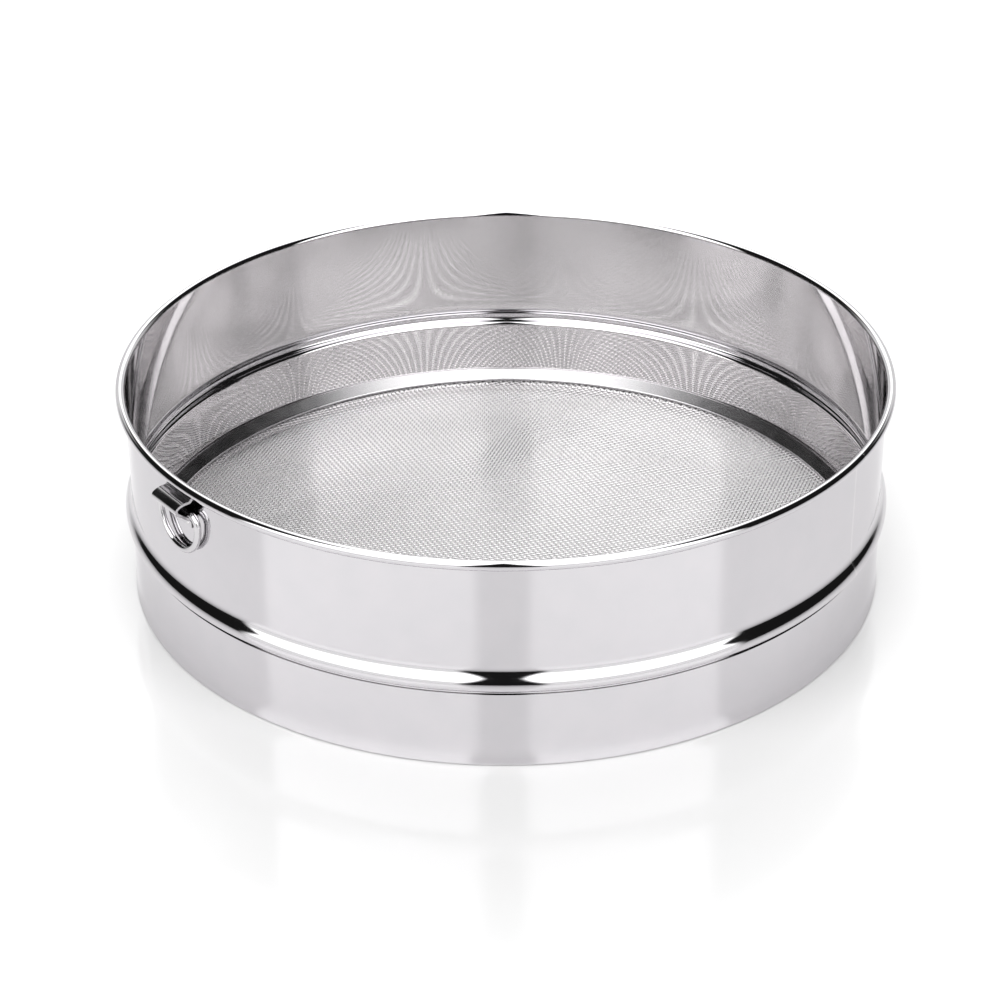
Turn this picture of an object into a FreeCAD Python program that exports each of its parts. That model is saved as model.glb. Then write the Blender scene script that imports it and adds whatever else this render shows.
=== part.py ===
import FreeCAD, Part
import math
import os
from FreeCAD import Vector

# A round drum sieve of polished stainless sheet. An upper hoop carries a rolled rim and a swaged bead.
# A skirt hoop is pushed over its lower wall, and its inward rolled hem carries the woven wire cloth,
# which a rolled retaining ring holds down. A D-shaped ring hangs in a bent strip clip under the rim.
# Millimetres. +Z is up, the origin is on the hoop's axis in the plane that the sieve stands on,
# and the clip is on the -Y side.

# Driving dimensions
RIM_RADIUS = 150.0         # outside of the rolled rim
HEIGHT = 85.0              # overall, from the hem to the top of the rim
SHEET = 0.5                # thickness of the hoop and ring sheet
RIM_ROLL = 1.9             # outside radius of the rolled rim's section
RIM_ROLL_SWEEP = 305.0     # how far round the rim is rolled, degrees
BEAD_HEIGHT = 33.8         # height where the bead stands out furthest
BEAD_REACH = 2.75          # how far it stands out from the wall
BEAD_LOWER_ROLL = 2.2      # outside radius of the bead's lower half
BEAD_LOWER_FILLET = 1.3    # outside radius where that half runs into the wall
BEAD_UPPER_ROLL = 5.0      # the same for its gentler upper half
BEAD_UPPER_FILLET = 5.4
SKIRT_TOP = 29.9           # top edge of the skirt hoop
SKIRT_PLAY = 0.05          # radial gap between the skirt and the wall inside it
FLARE = 7.0                # how far the skirt leans outwards just above its hem, degrees
FLARE_BEND = 30.0          # outside radius where it starts to lean
FLARE_LENGTH = 2.5         # length of the leaning stretch
HEM_CORNER = 0.8           # outside radius of the hem's bottom corner
HEM_FOOT = 3.2             # width of the flat that the sieve stands on
HEM_ROLL = 2.4             # outside radius of the hem's inner roll
HEM_LAND = 1.0             # width of the flat under the cloth
HEM_END_TURN = 30.0        # last turn of the hem's rolled-in edge, degrees
CLOTH_THICKNESS = 0.8      # two crossing wires of the cloth
CLOTH_RADIUS = 145.9
RING_SLOPE = 31.0          # fall of the retaining ring's face towards the middle, degrees
RING_FACE = 5.0            # length of that face between its rounded edges
RING_LIP = 2.0             # width of the lip that presses on the cloth
RING_EDGE = 0.7            # outside radius of the ring's rounded edges
WELD_WIDTH = 1.2
BODY_SEAM_AZIMUTH = 23.5   # from +X towards +Y, degrees
SKIRT_SEAM_AZIMUTH = 143.0
CLIP_WIDTH = 16.4
CLIP_SHEET = 1.0
CLIP_TOP = 79.6            # the strip's upper edge, under the rim
CLIP_UPPER_TAB = 0.2       # height of the short tab above the top flange
CLIP_UPPER_BEND = 0.5      # outside radius of the bend into the top flange
CLIP_FLANGE = 0.8          # level part of the top flange
CLIP_CROWN = 8.0           # outside radius of its gently falling part
CLIP_CROWN_TURN = 30.0     # how far that part falls, degrees
CLIP_NOSE = 2.0            # outside radius of the clip's round nose
CLIP_CLIMB = 37.0          # slope of the lower flange, degrees
CLIP_LOWER_BEND = 1.0      # outside radius of the bend into the lower tab
CLIP_LOWER_TAB = 2.0       # height of the tab that is welded to the wall
WELD_SPOT_RADIUS = 0.7
WELD_SPOT_OFFSET = 5.5     # from the clip's middle to each weld spot
WELD_SPOT_CROWN = 0.1      # how far a weld spot stands proud of the tab
HANG_WIRE = 1.3            # radius of the hanging ring's wire
HANG_OFFSET = 0.5          # how far the ring has slid along the clip towards +X
HANG_PIVOT_REACH = 148.3   # from the hoop's axis to the ring's bar
HANG_PIVOT_HEIGHT = 74.06
HANG_HALF_WIDTH = 12.9     # from the ring's middle to the centre of each leg
HANG_CORNER = 3.6          # bend between the bar and a leg
HANG_LEG = 0.66            # straight part of each leg
RIM_WIRE_PLAY = 0.1        # clearance round the wire inside the rolled rim
CUT_MARGIN = 2.0           # how far cutting tools run past what they cut

# Sizes that follow from them
WALL_INSIDE = RIM_RADIUS - 2 * RIM_ROLL
WALL_OUTSIDE = WALL_INSIDE + SHEET
SKIRT_OUTSIDE = WALL_OUTSIDE + SKIRT_PLAY + SHEET
RIM_CENTRE_HEIGHT = HEIGHT - RIM_ROLL
HEM_TOP = 2 * HEM_ROLL
CLOTH_TOP = HEM_TOP + CLOTH_THICKNESS
WALL_BOTTOM = HEM_TOP + CLOTH_THICKNESS / 2

os.makedirs("parts", exist_ok=True)


def step(x, z, heading, distance):
    """The point that lies `distance` away along `heading`, in degrees from +X towards +Z."""
    angle = math.radians(heading)
    return x + distance * math.cos(angle), z + distance * math.sin(angle)


def trace(x, z, heading, moves, offset=0.0):
    """Edges in the XZ plane of a path of ("line", length) and ("turn", radius, degrees), where a
    positive turn bends left. The whole path is shifted `offset` to its right."""
    x, z = step(x, z, heading - 90, offset)
    edges = []
    for move in moves:
        start = Vector(x, 0, z)
        if move[0] == "line":
            x, z = step(x, z, heading, move[1])
            edges.append(Part.LineSegment(start, Vector(x, 0, z)).toShape())
            continue
        side = math.copysign(1, move[2])
        radius = move[1] + side * offset
        cx, cz = step(x, z, heading + 90 * side, radius)
        middle = step(cx, cz, heading - 90 * side + move[2] / 2, radius)
        heading += move[2]
        x, z = step(cx, cz, heading - 90 * side, radius)
        arc = Part.Arc(start, Vector(middle[0], 0, middle[1]), Vector(x, 0, z))
        edges.append(arc.toShape())
    return edges


def sheet_section(x, z, heading, moves, thickness):
    """Section of a bent sheet: its outer skin follows the path, and its metal lies to the right."""
    outer = trace(x, z, heading, moves)
    inner = trace(x, z, heading, moves, thickness)
    caps = []
    for a, b in ((outer[0].valueAt(outer[0].FirstParameter), inner[0].valueAt(inner[0].FirstParameter)),
                 (outer[-1].valueAt(outer[-1].LastParameter), inner[-1].valueAt(inner[-1].LastParameter))):
        caps.append(Part.LineSegment(a, b).toShape())
    wire = Part.Wire(Part.__sortEdges__(outer + inner + caps))
    return Part.Face(wire)


def spin(face, start=0.0, sweep=360.0):
    """The face revolved about the hoop's axis, from the azimuth `start` through `sweep` degrees."""
    solid = face.revolve(Vector(0, 0, 0), Vector(0, 0, 1), sweep)
    solid.rotate(Vector(0, 0, 0), Vector(0, 0, 1), start)
    return solid


def hoop_and_weld(face, seam_azimuth, radius):
    """A strip hoop with a narrow gap at its seam, and the weld that fills the gap."""
    gap = math.degrees(WELD_WIDTH / radius)
    hoop = spin(face, seam_azimuth + gap / 2, 360 - gap)
    weld = spin(face, seam_azimuth - gap / 2, gap)
    return hoop, weld


def bead_half(roll, fillet):
    """How far one half of the bead leans from the wall, in degrees, and its height."""
    lean = math.acos(1 - BEAD_REACH / (roll + fillet))
    return math.degrees(lean), (roll + fillet) * math.sin(lean)


def body_section():
    """The upper hoop from its bottom edge up the inside: wall, bead, wall and rolled rim."""
    lower_lean, lower_height = bead_half(BEAD_LOWER_ROLL, BEAD_LOWER_FILLET)
    upper_lean, upper_height = bead_half(BEAD_UPPER_ROLL, BEAD_UPPER_FILLET)
    moves = [
        ("line", BEAD_HEIGHT - lower_height - WALL_BOTTOM),
        ("turn", BEAD_LOWER_FILLET + SHEET, -lower_lean),
        ("turn", BEAD_LOWER_ROLL - SHEET, lower_lean),
        ("turn", BEAD_UPPER_ROLL - SHEET, upper_lean),
        ("turn", BEAD_UPPER_FILLET + SHEET, -upper_lean),
        ("line", RIM_CENTRE_HEIGHT - BEAD_HEIGHT - upper_height),
        ("turn", RIM_ROLL, -RIM_ROLL_SWEEP),
    ]
    return sheet_section(WALL_INSIDE, WALL_BOTTOM, 90, moves, SHEET)


def skirt_section():
    """The skirt from its top edge down the outside, out to the foot and round the inner roll."""
    lean = math.radians(FLARE)
    drop = FLARE_BEND * math.sin(lean) + FLARE_LENGTH * math.cos(lean) + HEM_CORNER * (1 + math.sin(lean))
    moves = [
        ("line", SKIRT_TOP - drop),
        ("turn", FLARE_BEND, FLARE),
        ("line", FLARE_LENGTH),
        ("turn", HEM_CORNER, -90 - FLARE),
        ("line", HEM_FOOT),
        ("turn", HEM_ROLL, -180),
        ("line", HEM_LAND),
        ("turn", HEM_ROLL, -HEM_END_TURN),
    ]
    return sheet_section(SKIRT_OUTSIDE, SKIRT_TOP, -90, moves, SHEET)


def retaining_ring_section():
    """The retaining ring: a lip on the cloth, a round nose, a sloping face and an upright leg."""
    slope = math.radians(RING_SLOPE)
    across = RING_FACE * math.cos(slope)
    rise = RING_FACE * math.sin(slope)
    moves = [
        ("line", RING_LIP),
        ("turn", RING_EDGE, RING_SLOPE - 180),
        ("line", RING_FACE),
        ("turn", RING_EDGE, -90 - RING_SLOPE),
        ("line", RING_EDGE + rise),
    ]
    start = WALL_INSIDE - RING_EDGE - across + RING_LIP
    return sheet_section(start, CLOTH_TOP, 180, moves, SHEET)


def clip_moves():
    """The clip's outer skin from its upper edge: tab, top flange, nose, lower flange and lower tab."""
    crown = math.radians(CLIP_CROWN_TURN)
    climb = math.radians(CLIP_CLIMB)
    reach = CLIP_UPPER_BEND + CLIP_FLANGE + (CLIP_CROWN - CLIP_NOSE) * math.sin(crown)
    reach += CLIP_NOSE * math.sin(climb) - CLIP_LOWER_BEND * (1 - math.sin(climb))
    return [
        ("line", CLIP_UPPER_TAB),
        ("turn", CLIP_UPPER_BEND, 90),
        ("line", CLIP_FLANGE),
        ("turn", CLIP_CROWN, -CLIP_CROWN_TURN),
        ("turn", CLIP_NOSE, CLIP_CROWN_TURN + CLIP_CLIMB - 180),
        ("line", reach / math.cos(climb)),
        ("turn", CLIP_LOWER_BEND, 90 - CLIP_CLIMB),
        ("line", CLIP_LOWER_TAB),
    ]


def clip_solid():
    """The strip clip: a closed loop of sheet that lies on the wall with a tab at each end."""
    face = sheet_section(WALL_OUTSIDE + CLIP_SHEET, CLIP_TOP, -90, clip_moves(), CLIP_SHEET)
    face.rotate(Vector(0, 0, 0), Vector(0, 0, 1), -90)
    strip = face.extrude(Vector(CLIP_WIDTH, 0, 0))
    strip.translate(Vector(-CLIP_WIDTH / 2, 0, 0))
    wall = Part.makeCylinder(WALL_OUTSIDE, HEIGHT + CUT_MARGIN)
    return strip.cut(wall)


def weld_spots():
    """The two spot welds through the clip's lower tab, each ending on the wall."""
    wall = Part.makeCylinder(WALL_OUTSIDE, HEIGHT + CUT_MARGIN)
    tab = trace(WALL_OUTSIDE + CLIP_SHEET, CLIP_TOP, -90, clip_moves())[-1]
    height = tab.CenterOfMass.z
    proud = WALL_OUTSIDE + CLIP_SHEET + WELD_SPOT_CROWN
    length = CLIP_SHEET + WELD_SPOT_CROWN + CUT_MARGIN
    spots = []
    for x in (-WELD_SPOT_OFFSET, WELD_SPOT_OFFSET):
        spot = Part.makeCylinder(WELD_SPOT_RADIUS, length, Vector(x, -proud, height), Vector(0, 1, 0))
        spots.append(spot.cut(wall))
    return spots


def hanging_ring():
    """The D-shaped ring: a straight bar in the clip, two short legs and a half-round bottom."""
    bar = 2 * (HANG_HALF_WIDTH - HANG_CORNER)
    moves = [
        ("line", bar),
        ("turn", HANG_CORNER, -90),
        ("line", HANG_LEG),
        ("turn", HANG_HALF_WIDTH, -180),
        ("line", HANG_LEG),
        ("turn", HANG_CORNER, -90),
    ]
    path = Part.Wire(trace(HANG_OFFSET - bar / 2, HANG_PIVOT_HEIGHT, 0, moves))
    start = Vector(HANG_OFFSET - bar / 2, 0, HANG_PIVOT_HEIGHT)
    profile = Part.Wire(Part.makeCircle(HANG_WIRE, start, Vector(1, 0, 0)))
    ring = path.makePipeShell([profile], True, False)
    ring.translate(Vector(0, -HANG_PIVOT_REACH, 0))
    section = math.pi * HANG_WIRE ** 2
    print("hanging ring volume over section times length:", round(ring.Volume / (section * path.Length), 4))
    return ring


def save(name, shape):
    """Write one node and report whether it is sound."""
    print(name, "valid", shape.isValid(), "solids", len(shape.Solids), "volume", round(shape.Volume, 1))
    shape.exportStep("parts/" + name + ".step")


body_hoop, body_seam_weld = hoop_and_weld(body_section(), BODY_SEAM_AZIMUTH, WALL_INSIDE)
skirt_hoop, skirt_seam_weld = hoop_and_weld(skirt_section(), SKIRT_SEAM_AZIMUTH, SKIRT_OUTSIDE)

rim_wire = Part.makeTorus(
    RIM_RADIUS - RIM_ROLL, RIM_ROLL - SHEET - RIM_WIRE_PLAY, Vector(0, 0, RIM_CENTRE_HEIGHT)
)
mesh_cloth = Part.makeCylinder(CLOTH_RADIUS, CLOTH_THICKNESS, Vector(0, 0, HEM_TOP))
retaining_ring = spin(retaining_ring_section())

spots = weld_spots()
ring_clip = clip_solid()
for spot in spots:
    ring_clip = ring_clip.cut(spot)

save("body_hoop", body_hoop)
save("body_seam_weld", body_seam_weld)
save("rim_wire", rim_wire)
save("skirt_hoop", skirt_hoop)
save("skirt_seam_weld", skirt_seam_weld)
save("mesh_cloth", mesh_cloth)
save("retaining_ring", retaining_ring)
save("ring_clip", ring_clip)
save("clip_weld_spots", Part.makeCompound(spots))
save("hanging_ring", hanging_ring())
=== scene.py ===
import math
import bmesh
import bpy
import numpy as np
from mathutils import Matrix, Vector


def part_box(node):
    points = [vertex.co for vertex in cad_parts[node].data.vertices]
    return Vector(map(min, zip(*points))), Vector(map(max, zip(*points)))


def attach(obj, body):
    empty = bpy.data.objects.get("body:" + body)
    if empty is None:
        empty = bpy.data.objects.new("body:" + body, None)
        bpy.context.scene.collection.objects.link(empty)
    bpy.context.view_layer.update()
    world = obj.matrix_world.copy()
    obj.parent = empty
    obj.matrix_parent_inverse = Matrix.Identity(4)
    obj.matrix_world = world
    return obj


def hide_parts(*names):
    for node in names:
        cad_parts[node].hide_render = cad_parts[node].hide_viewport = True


# A round drum sieve of polished stainless sheet on a pale studio floor.
# The sieve's sizes are in millimetres, and become metres where a mesh or a material is made.
# The camera's place and the floor's sizes are in metres.
# The hoop's axis is Z, the floor is z = 0 and the hanging ring's clip is on the -Y side.

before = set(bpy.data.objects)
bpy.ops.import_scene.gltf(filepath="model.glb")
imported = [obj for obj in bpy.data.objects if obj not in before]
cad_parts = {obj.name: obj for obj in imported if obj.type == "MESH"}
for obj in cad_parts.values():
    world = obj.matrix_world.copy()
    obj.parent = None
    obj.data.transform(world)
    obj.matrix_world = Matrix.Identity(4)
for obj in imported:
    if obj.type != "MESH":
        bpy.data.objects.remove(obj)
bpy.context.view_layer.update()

MM = 0.001


def low(node, axis):
    """The lowest place of a CAD node along x, y or z, to a tenth of a millimetre."""
    return round(getattr(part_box(node)[0], axis) / MM, 1)


def high(node, axis):
    """The highest place of a CAD node along x, y or z, to a tenth of a millimetre."""
    return round(getattr(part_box(node)[1], axis) / MM, 1)


# Sizes read from the frame
RIM_RADIUS = high("body_hoop", "x")
HEIGHT = high("body_hoop", "z")
WALL_BOTTOM = low("body_hoop", "z")
SKIRT_TOP = high("skirt_hoop", "z")
CLOTH_BOTTOM = low("mesh_cloth", "z")
CLOTH_TOP = high("mesh_cloth", "z")
CLOTH_RADIUS = high("mesh_cloth", "x")
CLIP_WIDTH = high("ring_clip", "x") - low("ring_clip", "x")
CLIP_TOP = high("ring_clip", "z")
CLIP_BOTTOM = low("ring_clip", "z")

# Sheet and rolled edges
SHEET = 0.5
RIM_ROLL = 1.9             # outside radius of the rolled rim
RIM_ROLL_SWEEP = 305.0
RIM_WIRE_PLAY = 0.1        # clearance round the wire inside the rolled rim
RIM_WIRE_SIDES = 24
BEAD_HEIGHT = 33.8
BEAD_REACH = 2.75
BEAD_LOWER_ROLL = 2.2
BEAD_LOWER_FILLET = 1.3
BEAD_UPPER_ROLL = 5.0
BEAD_UPPER_FILLET = 5.4
SKIRT_PLAY = 0.05
FLARE = 7.0                # how far the skirt leans outwards above its hem, degrees
FLARE_BEND = 30.0
FLARE_LENGTH = 2.5
HEM_CORNER = 0.8
HEM_FOOT = 3.2
HEM_ROLL = CLOTH_BOTTOM / 2
HEM_LAND = 1.0
HEM_END_TURN = 30.0
RING_SLOPE = 31.0          # fall of the retaining ring's face, degrees
RING_FACE = 5.0
RING_LIP = 2.0
RING_EDGE = 0.7
EDGE_ROUND = 0.09          # softening of cut sheet edges
SKIRT_EDGE_ROUND = 0.02
OPEN_CORNER = 120          # corners of an outline wider open than this aren't softened, degrees
WALL_INSIDE = RIM_RADIUS - 2 * RIM_ROLL
WALL_OUTSIDE = WALL_INSIDE + SHEET
SKIRT_OUTSIDE = WALL_OUTSIDE + SKIRT_PLAY + SHEET
RIM_CENTRE_HEIGHT = HEIGHT - RIM_ROLL

# Seams
WELD_WIDTH = 1.2
WELD_CROWN = 0.035
BODY_SEAM_AZIMUTH = 23.5
SKIRT_SEAM_AZIMUTH = 143.0

# Clip and hanging ring
CLIP_SHEET = 1.0
CLIP_UPPER_TAB = 0.2
CLIP_UPPER_BEND = 0.5
CLIP_FLANGE = 0.8
CLIP_CROWN = 8.0           # outside radius of the gently falling part of the top flange
CLIP_CROWN_TURN = 30.0
CLIP_NOSE = 2.0
CLIP_CLIMB = 37.0          # slope of the lower flange, degrees
CLIP_LOWER_BEND = 1.0
CLIP_LOWER_TAB = 2.0
CLIP_COLUMNS = 24
WELD_SPOT_RADIUS = 0.7
WELD_SPOT_OFFSET = 5.5
WELD_SPOT_CROWN = 0.1
WELD_SPOT_SIDES = 24
HANG_WIRE = 1.3
HANG_OFFSET = 0.5          # how far the ring has slid along the clip
HANG_PIVOT_REACH = 148.3
HANG_PIVOT_HEIGHT = 74.06
HANG_HALF_WIDTH = 12.9
HANG_CORNER = 3.6
HANG_LEG = 0.66
HANG_SIDES = 28

# Woven cloth
WIRE_PITCH = 1.45
WIRE_RADIUS = (CLOTH_TOP - CLOTH_BOTTOM) / 4
CLOTH_EDGE = 0.4           # the wires stop this far inside the cloth's cut edge
CLOTH_TURN = 34.3          # bearing of one family of wires from +X, degrees
CLOTH_BANDS = 3            # pieces that each family of wires is made in
WIRE_SIDES = 6
CLOTH_WAVE = 0.03          # how far the cloth waves up and down in its middle
CLOTH_FREE = 128.0         # radius inside which the cloth may wave
WIRE_DRIFT = 0.05          # how far the wires wander sideways

# Painted light and shade: a painted shade line in the joint above the skirt, a painted brighter inside, and
# painted highlights on the wires' crowns
JOINT_SHADE_HEIGHT = 0.28          # height of the painted shade line in the joint
JOINT_SHADE_DEPTH = 0.8
JOINT_SHADE_COLOUR = (0.06, 0.055, 0.055, 1)
# painted light: the hoop's inside is painted brighter than its outside
INNER_PAINTED_LIGHT = (0.74, 0.725, 0.73, 1)
INNER_LIGHT_SHARE = 0.85
# painted highlight on the wires' crowns
CROWN_HIGHLIGHT = (0.86, 0.845, 0.855, 1)
CROWN_FROM = (CLOTH_BOTTOM + CLOTH_TOP) / 2 + 0.05
CROWN_TO = CLOTH_TOP - 0.02

# Scales of the metals' noise, per metre, and how far the polishing lines are drawn out
ROLLING_SCALE = 26.0
CLOUD_SCALE = 90.0
POLISH_SCALE = 5200.0
POLISH_STRETCH = 0.006
HAZE_SPREAD = (0.3, 0.7)   # the noise values between which gloss goes from smooth to rough

# Mesh density
ARC_STEP = 9.0             # degrees between points of a rolled edge
GUARD = 0.12               # how near a straight stretch's end its extra points lie
HOOP_SEGMENTS = 540
WELD_SEGMENTS = 6
SHARP_ANGLE = 38.0         # edges that turn more than this are shaded sharp

# Camera
CAMERA_AZIMUTH = 52.85     # from -Y towards +X, degrees
CAMERA_REACH = 0.92285
CAMERA_HEIGHT = 0.54968
CAMERA_AIM = (-0.00143, -0.00194, 0.0245)
CAMERA_ROLL = -0.309
CAMERA_LENS = 96.08
CAMERA_SENSOR = 36.0

# Studio: brightness by direction, azimuths from the camera's side in degrees
SOFTBOX_ENDS = (-77.0, 67.0)
SOFTBOX_TOP = 75.0
GAP_MIDDLE = -1.0          # the dark gap between the two softboxes
GAP_HALF = 12.0            # half its width at the horizon
GAP_TAPER = 0.124          # how much narrower each half is per degree up
PANEL_TILT = (77.0, 155.0)  # the overhead panel, from the camera's horizon over the top
PANEL_HALF = 20.0
PANEL_SOFT = 7.0
SOFT_EDGE = 2.0
SOFTBOX_LEVEL = 3.1
SOFTBOX_FOOT = (9.0, 24.0)  # elevations over which the softboxes come up to their full level
FOOT_SHARE = 0.36          # their share of it below that
PANEL_LEVEL = 2.2
BEHIND_FADE = (125.0, 145.0)  # azimuths over which the weaker light behind comes in
BEHIND_LEVEL = 0.9
DARK_LEVEL = 0.012
LOWER_LEVEL = 0.9          # light from below the floor, which only the underside sees
BACKGROUND = 1.05          # white that the camera sees behind everything
FLOOR_HALF = 6.0
FLOOR_GLOSS = (0.10, 0.13)
FLOOR_CLOUDS = 8.0         # scale of the floor's change in gloss
FLOOR_IOR = 1.42
FLOOR_PLAIN = (0.70, 0.692, 0.70, 1)  # the floor as it lights the sieve and shows in it
FLOOR_NEAR = (0.62, 0.62, 0.62, 1)    # the floor as it is seen, with painted shade beside the sieve, and far off
FLOOR_FAR = (0.84, 0.84, 0.84, 1)
SHADE_REACH = 0.10         # middle of the faint painted shade on the floor in front of the sieve
SHADE_FADE = (0.04, 0.36)  # distances from there over which the shade fades
FLOOR_FADE = (0.45, 1.0)   # distances over which the floor runs out into the white background


# ---------------------------------------------------------------- outlines

def step(x, z, heading, distance):
    """The point that lies `distance` away along `heading`, in degrees from +X towards +Z."""
    angle = math.radians(heading)
    return x + distance * math.cos(angle), z + distance * math.sin(angle)


def stops(length):
    """Distances along a straight stretch, with a point near each end to keep its shading flat."""
    if length < 4 * GUARD:
        return [length]
    return [GUARD, length / 2, length - GUARD, length]


def trace(x, z, heading, moves, offset=0.0):
    """Points of a path of ("line", length) and ("turn", radius, degrees), where a positive turn
    bends left. The whole path is shifted `offset` to its right."""
    x, z = step(x, z, heading - 90, offset)
    points = [(x, z)]
    for move in moves:
        if move[0] == "line":
            points += [step(x, z, heading, distance) for distance in stops(move[1])]
        else:
            side = math.copysign(1, move[2])
            radius = move[1] + side * offset
            centre = step(x, z, heading + 90 * side, radius)
            count = max(2, math.ceil(abs(move[2]) / ARC_STEP))
            for i in range(1, count + 1):
                bearing = heading - 90 * side + move[2] * i / count
                points.append(step(*centre, bearing, radius))
            heading += move[2]
        x, z = points[-1]
    return points


def soften(outline, size):
    """The closed outline with each square corner cut back to a small round."""
    points = [Vector(p) for p in outline]
    result = []
    for i, corner in enumerate(points):
        before = points[i - 1] - corner
        after = points[(i + 1) % len(points)] - corner
        if before.angle(after) > math.radians(OPEN_CORNER):
            result.append(tuple(corner))
            continue
        a = corner + before.normalized() * size
        b = corner + after.normalized() * size
        middle = (a + b) / 4 + corner / 2
        result += [tuple(a), tuple(middle), tuple(b)]
    return result


def sheet_outline(x, z, heading, moves, thickness, edge=EDGE_ROUND):
    """Closed outline of a bent sheet: its outer skin follows the path, its metal lies to the right."""
    outer = trace(x, z, heading, moves)
    inner = trace(x, z, heading, moves, thickness)
    return soften(outer + inner[::-1], edge)


def bead_half(roll, fillet):
    """How far one half of the bead leans from the wall, in degrees, and its height."""
    lean = math.acos(1 - BEAD_REACH / (roll + fillet))
    return math.degrees(lean), (roll + fillet) * math.sin(lean)


def body_outline():
    """The upper hoop from its bottom edge up the inside: wall, bead, wall and rolled rim."""
    lower_lean, lower_height = bead_half(BEAD_LOWER_ROLL, BEAD_LOWER_FILLET)
    upper_lean, upper_height = bead_half(BEAD_UPPER_ROLL, BEAD_UPPER_FILLET)
    moves = [
        ("line", BEAD_HEIGHT - lower_height - WALL_BOTTOM),
        ("turn", BEAD_LOWER_FILLET + SHEET, -lower_lean),
        ("turn", BEAD_LOWER_ROLL - SHEET, lower_lean),
        ("turn", BEAD_UPPER_ROLL - SHEET, upper_lean),
        ("turn", BEAD_UPPER_FILLET + SHEET, -upper_lean),
        ("line", RIM_CENTRE_HEIGHT - BEAD_HEIGHT - upper_height),
        ("turn", RIM_ROLL, -RIM_ROLL_SWEEP),
    ]
    return sheet_outline(WALL_INSIDE, WALL_BOTTOM, 90, moves, SHEET)


def skirt_outline():
    """The skirt from its top edge down the outside, out to the foot and round the inner roll."""
    lean = math.radians(FLARE)
    drop = FLARE_BEND * math.sin(lean) + FLARE_LENGTH * math.cos(lean) + HEM_CORNER * (1 + math.sin(lean))
    moves = [
        ("line", SKIRT_TOP - drop),
        ("turn", FLARE_BEND, FLARE),
        ("line", FLARE_LENGTH),
        ("turn", HEM_CORNER, -90 - FLARE),
        ("line", HEM_FOOT),
        ("turn", HEM_ROLL, -180),
        ("line", HEM_LAND),
        ("turn", HEM_ROLL, -HEM_END_TURN),
    ]
    return sheet_outline(SKIRT_OUTSIDE, SKIRT_TOP, -90, moves, SHEET, SKIRT_EDGE_ROUND)


def retaining_ring_outline():
    """The retaining ring: a lip on the cloth, a round nose, a sloping face and an upright leg."""
    slope = math.radians(RING_SLOPE)
    across = RING_FACE * math.cos(slope)
    rise = RING_FACE * math.sin(slope)
    moves = [
        ("line", RING_LIP),
        ("turn", RING_EDGE, RING_SLOPE - 180),
        ("line", RING_FACE),
        ("turn", RING_EDGE, -90 - RING_SLOPE),
        ("line", RING_EDGE + rise),
    ]
    start = WALL_INSIDE - RING_EDGE - across + RING_LIP
    return sheet_outline(start, CLOTH_TOP, 180, moves, SHEET)


def clip_outline():
    """The strip clip seen from its end: tab, top flange, nose, lower flange and lower tab."""
    crown = math.radians(CLIP_CROWN_TURN)
    climb = math.radians(CLIP_CLIMB)
    reach = CLIP_UPPER_BEND + CLIP_FLANGE + (CLIP_CROWN - CLIP_NOSE) * math.sin(crown)
    reach += CLIP_NOSE * math.sin(climb) - CLIP_LOWER_BEND * (1 - math.sin(climb))
    moves = [
        ("line", CLIP_UPPER_TAB),
        ("turn", CLIP_UPPER_BEND, 90),
        ("line", CLIP_FLANGE),
        ("turn", CLIP_CROWN, -CLIP_CROWN_TURN),
        ("turn", CLIP_NOSE, CLIP_CROWN_TURN + CLIP_CLIMB - 180),
        ("line", reach / math.cos(climb)),
        ("turn", CLIP_LOWER_BEND, 90 - CLIP_CLIMB),
        ("line", CLIP_LOWER_TAB),
    ]
    return sheet_outline(WALL_OUTSIDE + CLIP_SHEET, CLIP_TOP, -90, moves, CLIP_SHEET)


# ---------------------------------------------------------------- meshes

def add_piece(name, mesh, body, node, slot, edges=True):
    """Link a finished mesh as one piece that rides on a body and stands for a CAD node. Its steep
    edges are shaded sharp unless edges is False."""
    mesh.shade_smooth()
    if edges:
        mesh.set_sharp_from_angle(angle=math.radians(SHARP_ANGLE))
    mesh.materials.append(materials[slot])
    piece = bpy.data.objects.new(name, mesh)
    bpy.context.scene.collection.objects.link(piece)
    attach(piece, body)
    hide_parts(node)


def mesh_from(name, points, faces):
    """A mesh from points in millimetres, with every face turned outwards."""
    mesh = bpy.data.meshes.new(name)
    mesh.from_pydata([(x * MM, y * MM, z * MM) for x, y, z in points], [], faces)
    work = bmesh.new()
    work.from_mesh(mesh)
    bmesh.ops.recalc_face_normals(work, faces=work.faces)
    work.to_mesh(mesh)
    work.free()
    return mesh


def spin(name, outline, segments, start=0.0, sweep=360.0, crown=0.0):
    """The outline turned about the axis. A crown swells the middle of the sweep, as a weld does."""
    closed = sweep >= 360
    stations = segments if closed else segments + 1
    middle = Vector((sum(p[0] for p in outline), sum(p[1] for p in outline))) / len(outline)
    points = []
    for s in range(stations):
        share = s / segments
        angle = math.radians(start + sweep * share)
        swell = 4 * share * (1 - share) * crown
        for i, (x, z) in enumerate(outline):
            if swell:
                along = Vector(outline[(i + 1) % len(outline)]) - Vector(outline[i - 1])
                out = Vector((along.y, -along.x)).normalized() * swell
                x, z = x + out.x, z + out.y
            points.append((x * math.cos(angle), x * math.sin(angle), z))
    count = len(outline)
    faces = []
    for s in range(segments):
        a, b = s * count, (s + 1) % stations * count
        for i in range(count):
            j = (i + 1) % count
            faces.append((a + i, a + j, b + j, b + i))
    if not closed:
        faces.append(tuple(range(count)))
        faces.append(tuple(range(segments * count, stations * count)))
    return mesh_from(name, points, faces)


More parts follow.
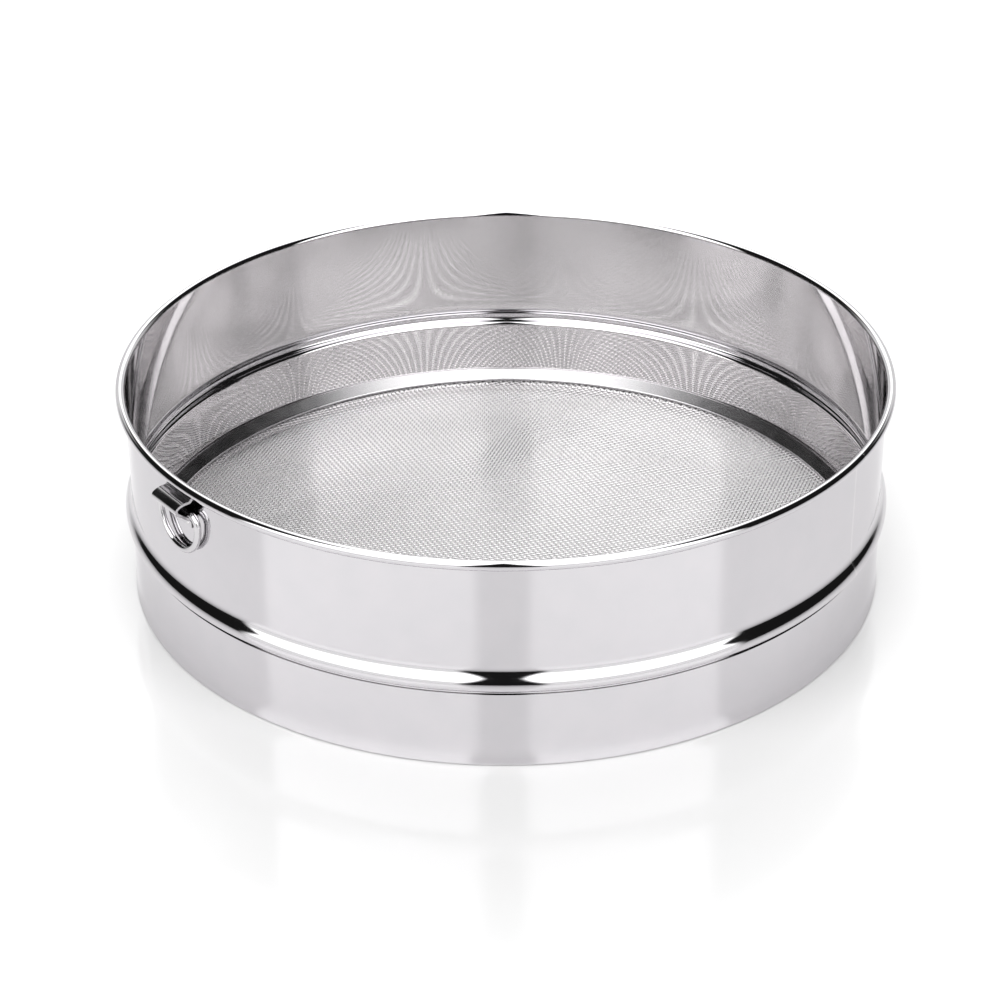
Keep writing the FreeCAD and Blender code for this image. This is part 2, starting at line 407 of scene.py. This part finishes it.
def hoop_and_weld(hoop, weld, outline, seam, body_slot):
    """A strip hoop that stops short at its seam, and the weld bead that joins its ends."""
    gap = math.degrees(WELD_WIDTH / WALL_INSIDE)
    ring = spin(hoop + "_shell", outline, HOOP_SEGMENTS, seam + gap / 2, 360 - gap)
    bead = spin(weld + "_bead", outline, WELD_SEGMENTS, seam - gap / 2, gap, WELD_CROWN)
    add_piece(hoop + "_shell", ring, "sieve", hoop, body_slot)
    add_piece(weld + "_bead", bead, "sieve", weld, "weld_metal")


def rim_wire():
    """The wire inside the rolled rim."""
    radius = RIM_ROLL - SHEET - RIM_WIRE_PLAY
    centre = RIM_RADIUS - RIM_ROLL
    turns = [360 * i / RIM_WIRE_SIDES for i in range(RIM_WIRE_SIDES)]
    outline = [step(centre, RIM_CENTRE_HEIGHT, turn, radius) for turn in turns]
    mesh = spin("rim_core_wire", outline, HOOP_SEGMENTS // 2)
    add_piece("rim_core_wire", mesh, "sieve", "rim_wire", "steel_wire")


def retaining_ring():
    """The rolled ring that holds the cloth down inside the hoop."""
    mesh = spin("cloth_retaining_ring", retaining_ring_outline(), HOOP_SEGMENTS)
    add_piece("cloth_retaining_ring", mesh, "sieve", "retaining_ring", "ring_sheet")


def clip():
    """The bent strip that carries the hanging ring, its tabs shaped to the round wall."""
    outline = clip_outline()
    count = len(outline)
    half = CLIP_WIDTH / 2
    sides = [-half, -half + EDGE_ROUND]
    sides += [-half + CLIP_WIDTH * c / CLIP_COLUMNS for c in range(1, CLIP_COLUMNS)]
    sides += [half - EDGE_ROUND, half]
    points = []
    for x in sides:
        for reach, z in outline:
            if reach < WALL_OUTSIDE + EDGE_ROUND * 1.5:
                reach -= WALL_OUTSIDE - math.sqrt(WALL_OUTSIDE ** 2 - x ** 2)
            points.append((x, -reach, z))
    faces = []
    for c in range(len(sides) - 1):
        for i in range(count):
            j = (i + 1) % count
            faces.append((c * count + i, c * count + j, (c + 1) * count + j, (c + 1) * count + i))
    faces.append(tuple(range(count)))
    faces.append(tuple(range((len(sides) - 1) * count, len(sides) * count)))
    mesh = mesh_from("hanging_clip", points, faces)
    add_piece("hanging_clip", mesh, "sieve", "ring_clip", "clip_sheet")


def weld_spots():
    """The two spot welds on the clip's lower tab, each a shallow dish with a raised lip."""
    face = WALL_OUTSIDE + CLIP_SHEET
    height = CLIP_BOTTOM + CLIP_LOWER_TAB / 2
    dish = [(0.0, 0.02), (0.3, 0.03), (0.5, 0.09)]
    lip = [(0.62, WELD_SPOT_CROWN), (WELD_SPOT_RADIUS, 0.0), (0.6, -0.2)]
    profile = dish + lip
    count = WELD_SPOT_SIDES
    for side, x in (("left", -WELD_SPOT_OFFSET), ("right", WELD_SPOT_OFFSET)):
        points = [(x, -face - profile[0][1], height)]
        for radius, proud in profile[1:]:
            for i in range(count):
                dx, dz = step(0, 0, 360 * i / count, radius)
                points.append((x + dx, -face - proud, height + dz))
        faces = [(0, 1 + i, 1 + (i + 1) % count) for i in range(count)]
        for ring in range(len(profile) - 2):
            a, b = 1 + ring * count, 1 + (ring + 1) * count
            for i in range(count):
                j = (i + 1) % count
                faces.append((a + i, b + i, b + j, a + j))
        last = 1 + (len(profile) - 2) * count
        faces.append(tuple(last + i for i in range(count)))
        name = "clip_spot_weld_" + side
        mesh = mesh_from(name, points, faces)
        add_piece(name, mesh, "sieve", "clip_weld_spots", "weld_metal")


def hanging_ring():
    """The D-shaped ring: a straight bar in the clip, two short legs and a half-round bottom."""
    bar = 2 * (HANG_HALF_WIDTH - HANG_CORNER)
    moves = [
        ("line", bar),
        ("turn", HANG_CORNER, -90),
        ("line", HANG_LEG),
        ("turn", HANG_HALF_WIDTH, -180),
        ("line", HANG_LEG),
        ("turn", HANG_CORNER, -90),
    ]
    path = trace(HANG_OFFSET - bar / 2, HANG_PIVOT_HEIGHT, 0, moves)[:-1]
    points = []
    for i, (x, z) in enumerate(path):
        ahead, behind = path[(i + 1) % len(path)], path[i - 1]
        along = Vector((ahead[0] - behind[0], ahead[1] - behind[1])).normalized()
        for s in range(HANG_SIDES):
            out, depth = step(0, 0, 360 * s / HANG_SIDES, HANG_WIRE)
            points.append((x - along.y * out, -HANG_PIVOT_REACH + depth, z + along.x * out))
    faces = []
    for i in range(len(path)):
        a, b = i * HANG_SIDES, (i + 1) % len(path) * HANG_SIDES
        for s in range(HANG_SIDES):
            t = (s + 1) % HANG_SIDES
            faces.append((a + s, a + t, b + t, b + s))
    mesh = mesh_from("hanging_d_ring", points, faces)
    add_piece("hanging_d_ring", mesh, "ring", "hanging_ring", "steel_wire")


def cloth_place(x, y):
    """Where a crossing of the cloth really lies: the weave drifts a little and the cloth waves."""
    dx = np.sin(x / 31 + y / 47 + 0.7) + 0.6 * np.sin(x / 13 - y / 17)
    dy = np.sin(x / 41 - y / 29 + 2.1) + 0.6 * np.sin(x / 19 + y / 11 + 1.3)
    free = np.clip(1 - (x * x + y * y) / CLOTH_FREE ** 2, 0, 1)
    dz = np.sin(x / 23 + 0.4) * np.sin(y / 27 + 1.9) + 0.5 * np.sin(x / 9 + y / 14)
    return x + dx * WIRE_DRIFT, y + dy * WIRE_DRIFT, dz * CLOTH_WAVE * np.sqrt(free)


def cloth_band(name, bearing, rise, wires):
    """A band of parallel wires. Each has one ring of points at each crossing, over or under by turns."""
    along = np.array((math.cos(math.radians(bearing)), math.sin(math.radians(bearing))))
    across = np.array((-along[1], along[0]))
    edge = CLOTH_RADIUS - CLOTH_EDGE
    middle_height = (CLOTH_TOP + CLOTH_BOTTOM) / 2
    turns = np.arange(WIRE_SIDES) * 2 * math.pi / WIRE_SIDES + math.pi / WIRE_SIDES
    points, quads, caps = [], [], []
    first = 0
    for wire in wires:
        offset = (wire + 0.5) * WIRE_PITCH
        reach = math.sqrt(max(edge ** 2 - offset ** 2, 0))
        count = int(reach / WIRE_PITCH)
        if count < 2:
            continue
        crossing = np.arange(-count, count)
        distance = (crossing + 0.5) * WIRE_PITCH
        centre = distance[:, None] * along + offset * across
        x, y, wave = cloth_place(centre[:, 0], centre[:, 1])
        height = middle_height + wave + rise * WIRE_RADIUS * (1 - 2 * ((crossing + wire) % 2))
        out, up = WIRE_RADIUS * np.cos(turns), WIRE_RADIUS * np.sin(turns)
        ring = np.empty((len(crossing), WIRE_SIDES, 3))
        ring[:, :, 0] = x[:, None] + across[0] * out
        ring[:, :, 1] = y[:, None] + across[1] * out
        ring[:, :, 2] = height[:, None] + up
        points.append(ring.reshape(-1, 3))
        s = np.arange(WIRE_SIDES)
        start = first + np.arange(len(crossing) - 1)[:, None] * WIRE_SIDES
        a, b = start + s, start + (s + 1) % WIRE_SIDES
        quads.append(np.stack((a, a + WIRE_SIDES, b + WIRE_SIDES, b), -1).reshape(-1, 4))
        caps += [tuple(first + s), tuple(first + (len(crossing) - 1) * WIRE_SIDES + s[::-1])]
        first += len(crossing) * WIRE_SIDES
    points, quads = np.concatenate(points) * MM, np.concatenate(quads)
    loops = np.concatenate((quads.ravel(), np.array(caps).ravel()))
    starts = np.concatenate((np.arange(len(quads)) * 4, 4 * len(quads) + np.arange(len(caps)) * WIRE_SIDES))
    mesh = bpy.data.meshes.new(name)
    mesh.vertices.add(len(points))
    mesh.vertices.foreach_set("co", points.astype(np.float32).ravel())
    mesh.loops.add(len(loops))
    mesh.loops.foreach_set("vertex_index", loops.astype(np.int32))
    mesh.polygons.add(len(starts))
    mesh.polygons.foreach_set("loop_start", starts.astype(np.int32))
    mesh.update(calc_edges=True)
    mesh.validate()
    add_piece(name, mesh, "sieve", "mesh_cloth", "wire_cloth", edges=False)


def cloth():
    """The plain woven wire cloth, its two families of wires each in a few bands."""
    half = int(CLOTH_RADIUS / WIRE_PITCH) + 1
    limits = np.linspace(-half, half, CLOTH_BANDS + 1).astype(int)
    for family, bearing, rise in (("warp", CLOTH_TURN, 1), ("weft", CLOTH_TURN + 90, -1)):
        for band in range(CLOTH_BANDS):
            name = f"cloth_{family}_{band + 1}"
            cloth_band(name, bearing, rise, range(limits[band], limits[band + 1]))


# ---------------------------------------------------------------- materials

class Wiring:
    """Shorthand for building a node tree: each method adds a node and returns its output."""

    def __init__(self, tree):
        self.tree = tree

    def node(self, kind, inputs=(), **settings):
        made = self.tree.nodes.new(kind)
        for name, value in settings.items():
            setattr(made, name, value)
        for socket, value in inputs:
            if isinstance(value, bpy.types.NodeSocket):
                self.tree.links.new(value, made.inputs[socket])
            else:
                made.inputs[socket].default_value = value
        return made

    def math(self, operation, *values):
        return self.node("ShaderNodeMath", enumerate(values), operation=operation).outputs[0]

    def dot(self, vector, direction):
        inputs = [(0, vector), (1, direction)]
        return self.node("ShaderNodeVectorMath", inputs, operation="DOT_PRODUCT").outputs["Value"]

    def ramp(self, value, start, end, to_start=0.0, to_end=1.0):
        """A smooth step from to_start to to_end as value goes from start to end."""
        inputs = [("Value", value), ("From Min", start), ("From Max", end)]
        inputs += [("To Min", to_start), ("To Max", to_end)]
        return self.node("ShaderNodeMapRange", inputs, interpolation_type="SMOOTHSTEP").outputs["Result"]

    def band(self, value, start, end, soft):
        """One between start and end and nothing outside, with soft edges."""
        rise = self.ramp(value, start - soft, start + soft)
        fall = self.ramp(value, end - soft, end + soft, 1.0, 0.0)
        return self.math("MULTIPLY", rise, fall)

    def noise(self, vector, scale, detail=3.0):
        inputs = [("Vector", vector), ("Scale", scale), ("Detail", detail)]
        return self.node("ShaderNodeTexNoise", inputs).outputs["Fac"]

    def blend(self, factor, first, second):
        inputs = [(0, factor), (6, first), (7, second)]
        return self.node("ShaderNodeMix", inputs, data_type="RGBA").outputs[2]


def hoop_painted_light_and_shade(w, axes, place, colour):
    """The hoop's colour with its inside painted brighter as painted light, and a painted shade line in the
    joint above the skirt.
    """
    flat = w.node("ShaderNodeVectorMath", [(0, place), (1, (1, 1, 0))], operation="MULTIPLY").outputs[0]
    radius = w.node("ShaderNodeVectorMath", [(0, flat)], operation="LENGTH").outputs["Value"]
    outside = w.math("GREATER_THAN", radius, (WALL_OUTSIDE - SHEET / 2) * MM)
    inside = w.math("SUBTRACT", 1.0, outside)
    # painted light: the inside of the hoop is painted brighter
    colour = w.blend(w.math("MULTIPLY", inside, INNER_LIGHT_SHARE), colour, INNER_PAINTED_LIGHT)
    # painted shade: a dark line on the outside of the joint above the skirt, where the gap's shadow falls
    line = w.band(axes.outputs["Z"], SKIRT_TOP * MM, (SKIRT_TOP + JOINT_SHADE_HEIGHT) * MM, JOINT_SHADE_HEIGHT / 3 * MM)
    joint_shade = w.math("MULTIPLY", w.math("MULTIPLY", line, outside), JOINT_SHADE_DEPTH)
    return w.blend(joint_shade, colour, JOINT_SHADE_COLOUR)


def metal(name, dark, light, smooth, rough, ripple, lines, hoop=False, crown_highlight=None):
    """A steel whose colour goes between dark and light and its roughness between smooth and rough.
    Ripple is how deep the slow waviness of rolled sheet is, and lines how deep the fine polishing
    lines round the hoop are, both in metres. A hoop gets a painted brighter inside and a painted
    shade line in its joint, and crown_highlight is the painted highlight colour of the woven wires' crowns."""
    material = bpy.data.materials.new(name)
    material.use_nodes = True
    tree = material.node_tree
    w = Wiring(tree)
    shader = tree.nodes["Principled BSDF"]
    place = w.node("ShaderNodeTexCoord").outputs["Object"]
    axes = w.node("ShaderNodeSeparateXYZ", [(0, place)])
    turn = w.math("ARCTAN2", axes.outputs["Y"], axes.outputs["X"])
    reach = w.node("ShaderNodeVectorMath", [(0, place)], operation="LENGTH").outputs["Value"]
    inputs = [(0, w.math("MULTIPLY", turn, POLISH_STRETCH)), (1, axes.outputs["Z"]), (2, reach)]
    around = w.node("ShaderNodeCombineXYZ", inputs).outputs[0]
    slow = w.noise(place, ROLLING_SCALE, 2.0)
    cloudy = w.noise(place, CLOUD_SCALE, 4.0)
    polish = w.noise(around, POLISH_SCALE, 4.0)
    colour = w.blend(cloudy, dark, light)
    if hoop:
        colour = hoop_painted_light_and_shade(w, axes, place, colour)
    if crown_highlight:
        # painted highlight: the wires' crowns are painted brighter than the rest of the wire
        crown = w.ramp(axes.outputs["Z"], CROWN_FROM * MM, CROWN_TO * MM)
        colour = w.blend(crown, colour, crown_highlight)
    tree.links.new(colour, shader.inputs["Base Color"])
    haze = w.math("MULTIPLY", w.math("ADD", cloudy, polish), 0.5)
    tree.links.new(w.ramp(haze, *HAZE_SPREAD, smooth, rough), shader.inputs["Roughness"])
    waves = w.node("ShaderNodeBump", [("Strength", 1.0), ("Distance", ripple), ("Height", slow)])
    inputs = [("Strength", 1.0), ("Distance", lines), ("Height", polish), ("Normal", waves.outputs[0])]
    tree.links.new(w.node("ShaderNodeBump", inputs).outputs[0], shader.inputs["Normal"])
    shader.inputs["Metallic"].default_value = 1.0
    return material


def make_materials():
    """One finish for each material slot of the record."""
    return {
        "polished_sheet": metal(
            "polished_sheet", (0.60, 0.595, 0.61, 1), (0.65, 0.635, 0.65, 1),
            0.035, 0.06, ripple=3e-5, lines=5e-8, hoop=True),
        "ring_sheet": metal(
            "ring_sheet", (0.50, 0.495, 0.505, 1), (0.56, 0.55, 0.56, 1),
            0.16, 0.24, ripple=2e-5, lines=5e-8),
        "clip_sheet": metal(
            "clip_sheet", (0.55, 0.545, 0.555, 1), (0.63, 0.62, 0.63, 1),
            0.10, 0.20, ripple=2e-5, lines=4e-7),
        "steel_wire": metal(
            "steel_wire", (0.56, 0.555, 0.565, 1), (0.64, 0.63, 0.64, 1),
            0.07, 0.14, ripple=1e-5, lines=3e-7),
        "weld_metal": metal(
            "weld_metal", (0.66, 0.655, 0.66, 1), (0.76, 0.75, 0.75, 1),
            0.12, 0.22, ripple=3e-5, lines=1e-6),
        # the wires are kept dark below their crowns as painted shade, and their crowns carry a painted
        # highlight
        "wire_cloth": metal(
            "wire_cloth", (0.44, 0.43, 0.435, 1), (0.52, 0.51, 0.515, 1),
            0.15, 0.22, ripple=0.0, lines=5e-7, crown_highlight=CROWN_HIGHLIGHT),
    }


# ---------------------------------------------------------------- studio

def add_camera():
    """The camera on the side that the hanging ring is seen from at the left."""
    data = bpy.data.cameras.new("camera")
    data.lens = CAMERA_LENS
    data.sensor_width = CAMERA_SENSOR
    camera = bpy.data.objects.new("camera", data)
    bpy.context.scene.collection.objects.link(camera)
    turn = math.radians(CAMERA_AZIMUTH)
    camera.location = (CAMERA_REACH * math.sin(turn), -CAMERA_REACH * math.cos(turn), CAMERA_HEIGHT)
    camera.rotation_euler = (Vector(CAMERA_AIM) - camera.location).to_track_quat("-Z", "Y").to_euler()
    camera.rotation_euler.rotate_axis("Z", math.radians(CAMERA_ROLL))
    bpy.context.scene.camera = camera


def add_floor():
    """A pale glossy floor that shows its top only and runs out into the white background. Where
    the camera sees it, it is painted a little darker near the sieve, a painted shade, and white further off."""
    corners = [(-1, -1), (1, -1), (1, 1), (-1, 1)]
    mesh = bpy.data.meshes.new("floor")
    mesh.from_pydata([(x * FLOOR_HALF, y * FLOOR_HALF, 0) for x, y in corners], [], [(0, 1, 2, 3)])
    floor = bpy.data.objects.new("floor", mesh)
    bpy.context.scene.collection.objects.link(floor)
    material = bpy.data.materials.new("pale_floor")
    material.use_nodes = True
    tree = material.node_tree
    w = Wiring(tree)
    shader = tree.nodes["Principled BSDF"]
    place = w.node("ShaderNodeTexCoord").outputs["Object"]
    gloss = w.ramp(w.noise(place, FLOOR_CLOUDS), *HAZE_SPREAD, *FLOOR_GLOSS)
    tree.links.new(gloss, shader.inputs["Roughness"])
    turn = math.radians(CAMERA_AZIMUTH)
    pool = (SHADE_REACH * math.sin(turn), -SHADE_REACH * math.cos(turn), 0)
    distance = w.node("ShaderNodeVectorMath", [(0, place), (1, pool)], operation="DISTANCE").outputs["Value"]
    seen = w.node("ShaderNodeLightPath").outputs["Is Camera Ray"]
    # painted shade: the floor that the camera sees is darker near the sieve
    open_floor = w.blend(w.ramp(distance, *SHADE_FADE), FLOOR_NEAR, FLOOR_FAR)
    tree.links.new(w.blend(seen, FLOOR_PLAIN, open_floor), shader.inputs["Base Color"])
    shader.inputs["IOR"].default_value = FLOOR_IOR
    clear = w.node("ShaderNodeBsdfTransparent")
    under = w.node("ShaderNodeNewGeometry").outputs["Backfacing"]
    faded = w.math("MULTIPLY", seen, w.ramp(distance, *FLOOR_FADE))
    inputs = [(0, w.math("MAXIMUM", under, faded)), (1, shader.outputs[0]), (2, clear.outputs[0])]
    mixed = w.node("ShaderNodeMixShader", inputs)
    tree.links.new(mixed.outputs[0], tree.nodes["Material Output"].inputs["Surface"])
    mesh.materials.append(material)


def add_studio_light():
    """Soft light by direction: two softboxes on the camera's side with a dark gap between them,
    a white panel overhead that reaches down behind, weaker light low behind, and dark flanks."""
    world = bpy.data.worlds.new("studio")
    world.use_nodes = True
    bpy.context.scene.world = world
    tree = world.node_tree
    w = Wiring(tree)
    direction = w.node("ShaderNodeTexCoord").outputs["Generated"]
    turn = math.radians(CAMERA_AZIMUTH)
    towards = w.dot(direction, (math.sin(turn), -math.cos(turn), 0))
    across = w.dot(direction, (math.cos(turn), math.sin(turn), 0))
    up = w.node("ShaderNodeSeparateXYZ", [(0, direction)]).outputs["Z"]
    azimuth = w.math("DEGREES", w.math("ARCTAN2", across, towards))
    elevation = w.math("DEGREES", w.math("ARCSINE", up))
    tilt = w.math("DEGREES", w.math("ARCTAN2", up, towards))
    sideways = w.math("ABSOLUTE", w.math("DEGREES", w.math("ARCSINE", across)))
    half_gap = w.math("SUBTRACT", GAP_HALF, w.math("MULTIPLY", elevation, GAP_TAPER))
    from_gap = w.math("SUBTRACT", w.math("ABSOLUTE", w.math("SUBTRACT", azimuth, GAP_MIDDLE)), half_gap)
    boxes = w.band(azimuth, *SOFTBOX_ENDS, SOFT_EDGE)
    boxes = w.math("MULTIPLY", boxes, w.ramp(from_gap, -SOFT_EDGE, SOFT_EDGE))
    boxes = w.math("MULTIPLY", boxes, w.band(elevation, -2 * SOFT_EDGE, SOFTBOX_TOP, SOFT_EDGE))
    boxes = w.math("MULTIPLY", boxes, w.ramp(elevation, *SOFTBOX_FOOT, FOOT_SHARE))
    panel = w.ramp(sideways, PANEL_HALF - PANEL_SOFT, PANEL_HALF + PANEL_SOFT, 1.0, 0.0)
    panel = w.math("MULTIPLY", panel, w.band(tilt, *PANEL_TILT, SOFT_EDGE))
    lower = w.ramp(elevation, -2 * SOFT_EDGE, -4 * SOFT_EDGE)
    level = w.math("ADD", DARK_LEVEL, w.math("MULTIPLY", boxes, SOFTBOX_LEVEL))
    level = w.math("ADD", level, w.math("MULTIPLY", panel, PANEL_LEVEL))
    level = w.math("ADD", level, w.math("MULTIPLY", lower, LOWER_LEVEL))
    behind = w.ramp(w.math("ABSOLUTE", azimuth), *BEHIND_FADE)
    behind = w.math("MULTIPLY", behind, w.band(elevation, 0.0, 180 - PANEL_TILT[1], SOFT_EDGE))
    level = w.math("ADD", level, w.math("MULTIPLY", behind, BEHIND_LEVEL))
    seen = w.node("ShaderNodeLightPath").outputs["Is Camera Ray"]
    shade = w.node("ShaderNodeMix", [(0, seen), (2, level), (3, BACKGROUND)], data_type="FLOAT").outputs[0]
    tree.links.new(shade, tree.nodes["Background"].inputs["Strength"])
    tree.nodes["Background"].inputs["Color"].default_value = (1, 1, 1, 1)
    bpy.context.scene.view_settings.view_transform = "Standard"


materials = make_materials()
hoop_and_weld("body_hoop", "body_seam_weld", body_outline(), BODY_SEAM_AZIMUTH, "polished_sheet")
hoop_and_weld("skirt_hoop", "skirt_seam_weld", skirt_outline(), SKIRT_SEAM_AZIMUTH, "polished_sheet")
rim_wire()
retaining_ring()
clip()
weld_spots()
hanging_ring()
cloth()
add_floor()
add_studio_light()
add_camera()
